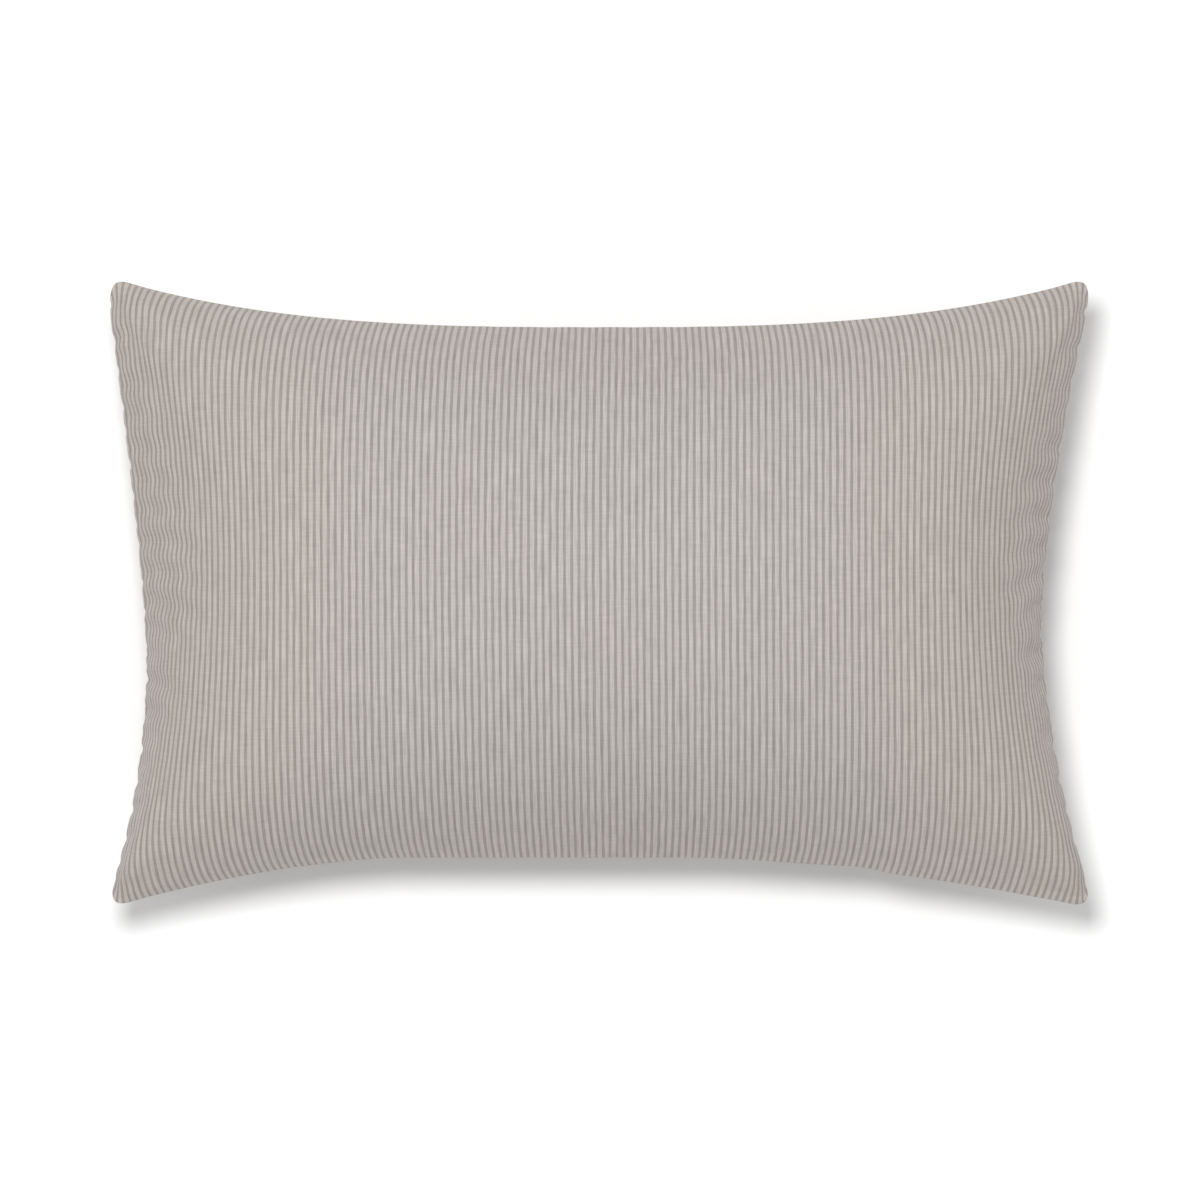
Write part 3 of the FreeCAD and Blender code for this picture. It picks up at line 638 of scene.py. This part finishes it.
def make_fill(cover):
    """One closed, lumpy mass of fibre inside the casing."""
    columns, rows = 110, 70
    both, u, v = shell_points(cover, 21 * MM, 3.6 * MM, columns, rows, 30 * MM)
    random = np.random.default_rng(11)
    lumps = random.normal(0, 1, (2, 28, 18, 1))
    calm = smooth((1 - np.maximum(np.abs(u), np.abs(v))) / 0.06)
    points = []
    for k, side in ((0, 1), (1, -1)):
        tufts = resample(lumps[k], np.linspace(0, 27, columns), np.linspace(0, 17, rows))[..., 0]
        depth = 0.9 * MM + 0.5 * MM * np.clip(tufts, -1.5, 1.5)
        sunk = both[k] - grid_normals(both[k], side) * (depth * calm)[..., None]
        points.append(sunk.reshape(-1, 3))
    edge = (np.abs(u) == 1) | (np.abs(v) == 1)
    front = np.arange(u.size).reshape(u.shape)
    back = np.where(edge, front, front + u.size)
    faces = np.concatenate([quads_of(front), quads_of(back)[:, ::-1]])
    used, faces = np.unique(faces, return_inverse=True)
    return make_mesh("fibre_fill", np.concatenate(points)[used], faces.reshape(-1, 4))


def make_label(name, face, normal, side):
    """A thin woven label behind its outer face. Side is -1 where the face looks downwards."""
    columns, rows = face.shape[:2]
    back = face - 0.25 * MM * normal
    index = np.arange(columns * rows).reshape(columns, rows)
    ring = index[ring_indices(columns, rows)]
    rim = np.stack([ring, ring + index.size], 1)
    rim = quads_of(np.concatenate([rim, rim[:1]]))
    quads = quads_of(index)
    faces = np.concatenate([quads, quads[:, ::-1] + index.size, rim[:, ::-1]])
    u, v = np.meshgrid(np.linspace(0, 1, columns), np.linspace(0, 1, rows), indexing="ij")
    uv = np.tile(np.stack([u, v], -1).reshape(-1, 2), (2, 1))
    points = np.concatenate([face.reshape(-1, 3), back.reshape(-1, 3)])
    return make_mesh(name, points, faces if side > 0 else faces[:, ::-1], uv)


def make_insert_tag(surface):
    """A blank label that lies on the insert's back panel."""
    low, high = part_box("insert_label")
    nx, ny = surface.shape[:2]
    at_x = np.interp(np.linspace(low.x, high.x, LABEL_COLUMNS), surface[:, ny // 2, 0], np.arange(nx))
    at_y = np.interp(np.linspace(low.y, high.y, LABEL_ROWS), surface[nx // 2, :, 1], np.arange(ny))
    points = resample(surface, at_x, at_y)
    normal = grid_normals(points, -1)
    return make_label("insert_tag", points + 0.4 * MM * normal, normal, -1)


def make_care_tag(cover):
    """A blank label caught in the lower seam, hanging against the inside of the front panel."""
    low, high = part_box("care_label")
    nx, ny = cover.shape[1:3]
    at_x = np.interp(np.linspace(low.x, high.x, LABEL_COLUMNS), cover[0][:, ny // 2, 0], np.arange(nx))
    from_seam = np.linspace(3 * MM, 23 * MM, LABEL_ROWS)
    points = resample(cover[0], at_x, from_seam / CUT_WIDTH * (ny - 1))
    normal = grid_normals(points, 1)
    gap = 1.1 * MM + 0.4 * MM * np.linspace(0, 1, LABEL_ROWS)[None, :, None]
    return make_label("care_tag", points - normal * gap, normal, 1)


# ---------------------------------------------------------------- materials
class Nodes:
    """A short way to write node trees."""

    def __init__(self, name):
        self.material = bpy.data.materials.new(name)
        self.material.use_nodes = True
        self.tree = self.material.node_tree
        self.shader = self.tree.nodes["Principled BSDF"]

    def add(self, kind, inputs=None, **settings):
        """A node with its settings, and its inputs set or linked."""
        node = self.tree.nodes.new(kind)
        for key, value in settings.items():
            setattr(node, key, value)
        for key, value in (inputs or {}).items():
            if isinstance(value, bpy.types.NodeSocket):
                self.tree.links.new(value, node.inputs[key])
            else:
                node.inputs[key].default_value = value
        return node

    def math(self, operation, a, b=0.0):
        """The result of a math node."""
        return self.add("ShaderNodeMath", {0: a, 1: b}, operation=operation).outputs[0]

    def noise(self, vector, scale, detail=2.0, stretch=(1, 1, 1)):
        """Noise from about 0 to 1, finer along an axis with a larger stretch."""
        scaled = self.add("ShaderNodeVectorMath", {0: vector, 1: stretch}, operation="MULTIPLY").outputs[0]
        inputs = {"Vector": scaled, "Scale": scale, "Detail": detail}
        return self.add("ShaderNodeTexNoise", inputs).outputs["Fac"]

    def remap(self, value, low, high, to_low, to_high):
        """A value eased from one range onto another."""
        inputs = {"Value": value, "From Min": low, "From Max": high, "To Min": to_low, "To Max": to_high}
        return self.add("ShaderNodeMapRange", inputs, interpolation_type="SMOOTHSTEP").outputs["Result"]

    def mix(self, factor, a, b, blend="MIX"):
        """Two colours mixed by a factor."""
        node = self.tree.nodes.new("ShaderNodeMix")
        node.data_type, node.blend_type = "RGBA", blend
        for socket, value in (("Factor_Float", factor), ("A_Color", a), ("B_Color", b)):
            target = next(s for s in node.inputs if s.identifier == socket)
            if isinstance(value, bpy.types.NodeSocket):
                self.tree.links.new(value, target)
            else:
                target.default_value = value
        return next(s for s in node.outputs if s.identifier == "Result_Color")

    def shade(self, colour, tone):
        """A colour, lighter or darker by a factor."""
        grey_tone = self.add("ShaderNodeCombineColor", {0: tone, 1: tone, 2: tone}).outputs[0]
        return self.mix(1.0, colour, grey_tone, "MULTIPLY")

    def object_place(self):
        """Where a point lies in the object's own frame."""
        return self.add("ShaderNodeTexCoord").outputs["Object"]

    def set(self, **values):
        """Sets or links the shader's inputs. An underscore stands for a space."""
        for key, value in values.items():
            socket = self.shader.inputs[key.replace("_", " ")]
            if isinstance(value, bpy.types.NodeSocket):
                self.tree.links.new(value, socket)
            else:
                socket.default_value = value

    def bump(self, height, distance, strength=1.0):
        """Roughens the surface by a height."""
        inputs = {"Height": height, "Distance": distance, "Strength": strength}
        self.set(Normal=self.add("ShaderNodeBump", inputs).outputs["Normal"])


def grey(value):
    """A neutral colour."""
    return (value, value, value, 1)


def cover_cloth():
    """Ribbed plain weave: pale raised ribs between darker greige ones, with slubs."""
    n = Nodes("cover_cloth")
    cut = n.add("ShaderNodeUVMap", uv_map="Cut").outputs["UV"]
    parts = n.add("ShaderNodeSeparateXYZ", {0: cut})
    x, y = parts.outputs["X"], parts.outputs["Y"]
    sway = n.math("MULTIPLY", n.math("SUBTRACT", n.noise(cut, 60, 4, (6, 0.8, 1)), 0.5), 1.3)
    phase = n.math("ADD", n.math("MULTIPLY", x, 2 * math.pi / STRIPE), sway)
    wave = n.math("COSINE", phase)
    stripe = n.remap(wave, -0.62, 0.12, 0.0, 1.0)
    colour = n.mix(stripe, (0.300, 0.279, 0.262, 1), (0.455, 0.427, 0.406, 1))
    slub = n.remap(n.noise(cut, 1500, 3, (1, 0.035, 1)), 0.25, 0.75, 0.88, 1.12)
    pick = n.remap(n.noise(cut, 1000, 2, (0.08, 1, 1)), 0.3, 0.7, 0.955, 1.045)
    slub = n.math("MULTIPLY", slub, pick)
    colour = n.shade(colour, slub)
    thread = 2 * math.pi / (STRIPE / 4)
    warp = n.math("SINE", n.math("MULTIPLY", x, thread))
    weft = n.math("SINE", n.math("MULTIPLY", y, thread))
    weave = n.math("MULTIPLY", warp, weft)
    weave_tone = n.remap(weave, -1, 1, 0.975, 1.025)
    colour = n.shade(colour, weave_tone)
    # Painted warm bounce light: the cloth is tinted warmer towards its ends and its long sides. The cast
    # noise mixed in with it is the cloth's own random warm tone.
    cast = n.remap(n.noise(cut, 12, 2), 0.35, 0.7, 0.0, 0.25)
    painted_bounce_end = n.remap(n.math("ABSOLUTE", x), 0.06, 0.28, 0.0, 0.95)
    painted_bounce_side = n.remap(n.math("ABSOLUTE", y), 0.08, 0.17, 0.0, 0.6)
    cast_and_painted_bounce = n.math("MAXIMUM", cast, n.math("MAXIMUM", painted_bounce_end, painted_bounce_side))
    colour = n.mix(cast_and_painted_bounce, colour, n.mix(1.0, colour, (1.0, 0.958, 0.935, 1), "MULTIPLY"))
    n.set(Base_Color=colour, Roughness=n.remap(stripe, 0, 1, 0.93, 0.84))
    n.set(Sheen_Weight=0.18, Sheen_Roughness=0.45, Specular_IOR_Level=0.25)
    fuzz = n.noise(cut, 2600, 2)
    height = n.math("ADD", n.math("MULTIPLY", weave, 0.5), n.math("MULTIPLY", fuzz, 0.9))
    n.bump(height, 0.00012, 0.8)
    return n.material


def thread(name, colour):
    """Twisted spun thread."""
    n = Nodes(name)
    place = n.object_place()
    wave = {"Vector": place, "Scale": 900.0, "Distortion": 1.5}
    twist = n.add("ShaderNodeTexWave", wave, bands_direction="DIAGONAL").outputs["Fac"]
    shadow = tuple(0.6 * part for part in colour[:3]) + (1,)
    n.set(Base_Color=n.mix(n.remap(twist, 0, 1, 0.0, 0.35), colour, shadow))
    n.set(Roughness=0.75, Sheen_Weight=0.15)
    n.bump(twist, 0.00008, 0.7)
    return n.material


def zipper_tape():
    """Herringbone polyester tape."""
    n = Nodes("zipper_tape")
    place = n.object_place()
    parts = n.add("ShaderNodeSeparateXYZ", {0: place})
    zigzag = n.math("PINGPONG", n.math("MULTIPLY", parts.outputs["Z"], 1.4), 0.0012)
    along_tape = n.math("ADD", parts.outputs["X"], zigzag)
    rib = n.math("SINE", n.math("MULTIPLY", along_tape, 2 * math.pi / 0.0007))
    n.set(Base_Color=n.mix(n.remap(rib, -1, 1, 0, 1), (0.33, 0.305, 0.285, 1), (0.44, 0.41, 0.385, 1)))
    n.set(Roughness=0.8, Sheen_Weight=0.1)
    n.bump(rib, 0.0001, 0.6)
    return n.material


def nylon():
    """Semi-clear dyed nylon monofilament."""
    n = Nodes("zipper_coil")
    place = n.object_place()
    shade = n.remap(n.noise(place, 400), 0.3, 0.7, 0.0, 1.0)
    n.set(Base_Color=n.mix(shade, (0.36, 0.335, 0.315, 1), (0.42, 0.395, 0.37, 1)))
    n.set(Roughness=0.35, Subsurface_Weight=0.1, Subsurface_Scale=0.0005)
    n.bump(n.noise(place, 5000), 0.00002, 0.3)
    return n.material


def enamel():
    """Dyed-to-match enamel over cast zinc, slightly orange-peeled."""
    n = Nodes("slider_metal")
    place = n.object_place()
    tone = n.remap(n.noise(place, 250, 3), 0.3, 0.7, 0, 1)
    n.set(Base_Color=n.mix(tone, (0.36, 0.335, 0.315, 1), (0.41, 0.385, 0.36, 1)))
    n.set(Roughness=n.remap(n.noise(place, 1200, 3), 0.3, 0.7, 0.25, 0.38), Metallic=0.35)
    n.set(Coat_Weight=0.3, Coat_Roughness=0.15)
    n.bump(n.noise(place, 1500, 2), 0.00003, 0.3)
    return n.material


def casing_cloth():
    """Bonded non-woven polyester, faintly embossed."""
    n = Nodes("insert_cloth")
    cut = n.add("ShaderNodeUVMap", uv_map="Cut").outputs["UV"]
    cells = n.add("ShaderNodeTexVoronoi", {"Vector": cut, "Scale": 700.0}).outputs["Distance"]
    fibres = n.noise(cut, 900, 4, (1, 0.3, 1))
    n.set(Base_Color=n.mix(n.remap(fibres, 0.3, 0.7, 0, 1), (0.78, 0.78, 0.76, 1), (0.88, 0.88, 0.87, 1)))
    n.set(Roughness=0.85, Sheen_Weight=0.1)
    n.bump(n.math("ADD", cells, fibres), 0.0002, 0.5)
    return n.material


def fibre():
    """Siliconised polyester staple: white, matted and soft."""
    n = Nodes("fibre_fill")
    place = n.object_place()
    tufts = n.noise(place, 120, 6)
    strands = n.noise(place, 900, 5, (1, 1, 3))
    n.set(Base_Color=n.mix(n.remap(tufts, 0.3, 0.7, 0, 1), (0.80, 0.80, 0.79, 1), (0.93, 0.93, 0.93, 1)))
    n.set(Roughness=0.95, Sheen_Weight=0.3, Subsurface_Weight=0.2, Subsurface_Scale=0.004)
    n.bump(n.math("ADD", tufts, n.math("MULTIPLY", strands, 0.5)), 0.0015, 0.7)
    return n.material


def satin():
    """Blank satin ribbon with woven edges."""
    n = Nodes("label_cloth")
    cut = n.add("ShaderNodeUVMap", uv_map="Cut").outputs["UV"]
    parts = n.add("ShaderNodeSeparateXYZ", {0: cut})
    border = n.math("ABSOLUTE", n.math("SUBTRACT", parts.outputs["Y"], 0.5))
    edge = n.remap(border, 0.455, 0.475, 0, 1)
    threads = n.math("SINE", n.math("MULTIPLY", parts.outputs["X"], 2 * math.pi * 90))
    n.set(Base_Color=n.mix(edge, (0.84, 0.83, 0.80, 1), (0.72, 0.71, 0.68, 1)))
    n.set(Roughness=n.remap(threads, -1, 1, 0.38, 0.5), Anisotropic=0.3, Sheen_Weight=0.1)
    n.bump(n.math("ADD", threads, n.math("MULTIPLY", edge, 2.0)), 0.00005, 0.5)
    return n.material


def floor_paint():
    """White paint, very slightly uneven."""
    n = Nodes("floor")
    place = n.object_place()
    uneven = n.remap(n.noise(place, 2), 0.3, 0.7, 0, 1)
    n.set(Base_Color=n.mix(uneven, grey(0.93), grey(0.95)), Roughness=0.9)
    return n.material


# ---------------------------------------------------------------- building
def place(piece, material, slot, node):
    """Gives a piece its material, and hides the frame's node that it stands for. All of them ride on the
    cover.
    """
    piece.data.materials.clear()
    piece.data.materials.append(material)
    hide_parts(node)
    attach(piece, "cover")


def paint(material, *nodes):
    """A better material on nodes that keep the frame's shape."""
    for node in nodes:
        shown = frame["nodes"][node]
        shown.data.materials.clear()
        shown.data.materials.append(material)


def build_cover(cover, cover_thread):
    """The two panels of the cover and the stitches of its seam."""
    columns, edge = 4 * STRIPES + 1, CUT_WIDTH / 2
    rim = np.array([0, 0.6, 1.4, 2.6]) * MM                # closer rows by the seams
    near_slit = np.array([4.6, 6.6, 8.6, 10.4, 11.0, 13.2, 13.8, 15.6]) * MM
    last = edge - 4.4 * MM
    front_rows = np.concatenate([rim - edge, np.linspace(-last, last, 144), edge - rim[::-1]])
    plain = np.linspace(18 * MM - edge, last, 129)
    back_rows = np.concatenate([rim - edge, near_slit - edge, plain, edge - rim[::-1]])
    cloth = cover_cloth()
    front, points = make_panel("cover_front", cover[0], 1, columns, front_rows)
    back = make_panel("cover_back", cover[1], -1, columns, back_rows)[0]
    place(front, cloth, "cover_cloth", "cover_front_panel")
    place(back, cloth, "cover_cloth", "cover_back_panel")

    ring = points[ring_indices(*points.shape[:2])] * [1, 1, 0] + [0, 0, SEAM_Z]
    outwards = ring_outwards(ring)
    ring = ring - outwards * 0.75 * MM
    path, outwards = np.concatenate([ring, ring[:1]]), np.concatenate([outwards, outwards[:1]])
    seam = stitch_row("seam_stitches", path, outwards, STITCH, STITCH_PITCH, 0.2 * MM, 0.25 * MM)
    place(seam, cover_thread, "cover_thread", "cover_seam_thread")
    return front


def build_zipper(cover_thread):
    """The zipper's stitching and coils. Its tapes, stops, slider and pull keep the frame's shape."""
    for name, node, at in (("lap_stitches", "zipper_stitching_front", 4.85),
                           ("placket_stitches", "zipper_stitching_back", -6.35)):
        low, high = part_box(node)
        path = on_track(np.linspace(low.x, high.x, 400), at * MM, 0.30 * MM)
        outwards = np.broadcast_to(OUT, path.shape)
        rows = stitch_row(name, path, outwards, STITCH, STITCH_PITCH, 0.22 * MM, 0.22 * MM)
        place(rows, cover_thread, "cover_thread", node)
    place(make_bar_tacks(), cover_thread, "cover_thread", "zipper_bar_tacks")
    coil = nylon()
    place(make_coil("coil_front", "zipper_coil_front", 1), coil, "zipper_coil", "zipper_coil_front")
    place(make_coil("coil_back", "zipper_coil_back", -1), coil, "zipper_coil", "zipper_coil_back")
    paint(zipper_tape(), "zipper_tape_front", "zipper_tape_back")
    paint(enamel(), "zipper_top_stop", "zipper_bottom_stop", "slider_body", "slider_pull")


def build_insert(cover):
    """The insert's casing, seam and fill, and the two labels."""
    insert_front, insert_back, seam, back_points = make_casing(cover)
    fill = make_fill(cover)
    insert_tag = make_insert_tag(back_points)
    casing, label = casing_cloth(), satin()
    place(insert_front, casing, "insert_cloth", "insert_front_panel")
    place(insert_back, casing, "insert_cloth", "insert_back_panel")
    place(seam, thread("insert_thread", (0.85, 0.85, 0.85, 1)), "insert_thread", "insert_seam_thread")
    place(fill, fibre(), "fibre_fill", "insert_fill")
    place(insert_tag, label, "label_cloth", "insert_label")
    care_tag = make_care_tag(cover)
    place(care_tag, label, "label_cloth", "care_label")


def build_pillow():
    cover = fill_cover(125, 121, 700)
    cover_thread = thread("cover_thread", (0.40, 0.37, 0.345, 1))
    front = build_cover(cover, cover_thread)
    build_zipper(cover_thread)
    build_insert(cover)


# ---------------------------------------------------------------- floor, light, camera
def aim(thing, target):
    """Turns a lamp to face a point."""
    thing.rotation_euler = (Vector(target) - thing.location).to_track_quat("-Z", "Y").to_euler()


def make_light(name, energy, size, location):
    """A round area light that faces the pillow."""
    data = bpy.data.lights.new(name, "AREA")
    data.energy, data.size, data.shape = energy, size, "DISK"
    lamp = bpy.data.objects.new(name, data)
    lamp.location = location
    bpy.context.scene.collection.objects.link(lamp)
    aim(lamp, (0, 0, SEAM_Z))


def build_studio():
    """White floor and surroundings, one soft key light, and a camera straight above."""
    scene = bpy.context.scene
    corners = 6.0 * np.array([[-1, -1, 0], [1, -1, 0], [1, 1, 0], [-1, 1, 0]])
    floor = make_mesh("floor", corners, np.array([[0, 1, 2, 3]]))
    floor.data.materials.append(floor_paint())
    world = bpy.data.worlds.new("studio")
    scene.world = world
    world.use_nodes = True
    world.node_tree.nodes["Background"].inputs["Color"].default_value = (1, 1, 1, 1)
    world.node_tree.nodes["Background"].inputs["Strength"].default_value = 0.63
    make_light("key", 56, 0.72, (-0.25, 0.52, 3.0))
    scene.view_settings.view_transform = "Standard"

    data = bpy.data.cameras.new("camera")
    camera = bpy.data.objects.new("camera", data)
    scene.collection.objects.link(camera)
    distance, view_width = 5.0, 0.666
    camera.location = (0, -4.2 * MM, SEAM_Z + distance)
    data.lens = data.sensor_width * distance / view_width
    scene.camera = camera


build_pillow()
build_studio()
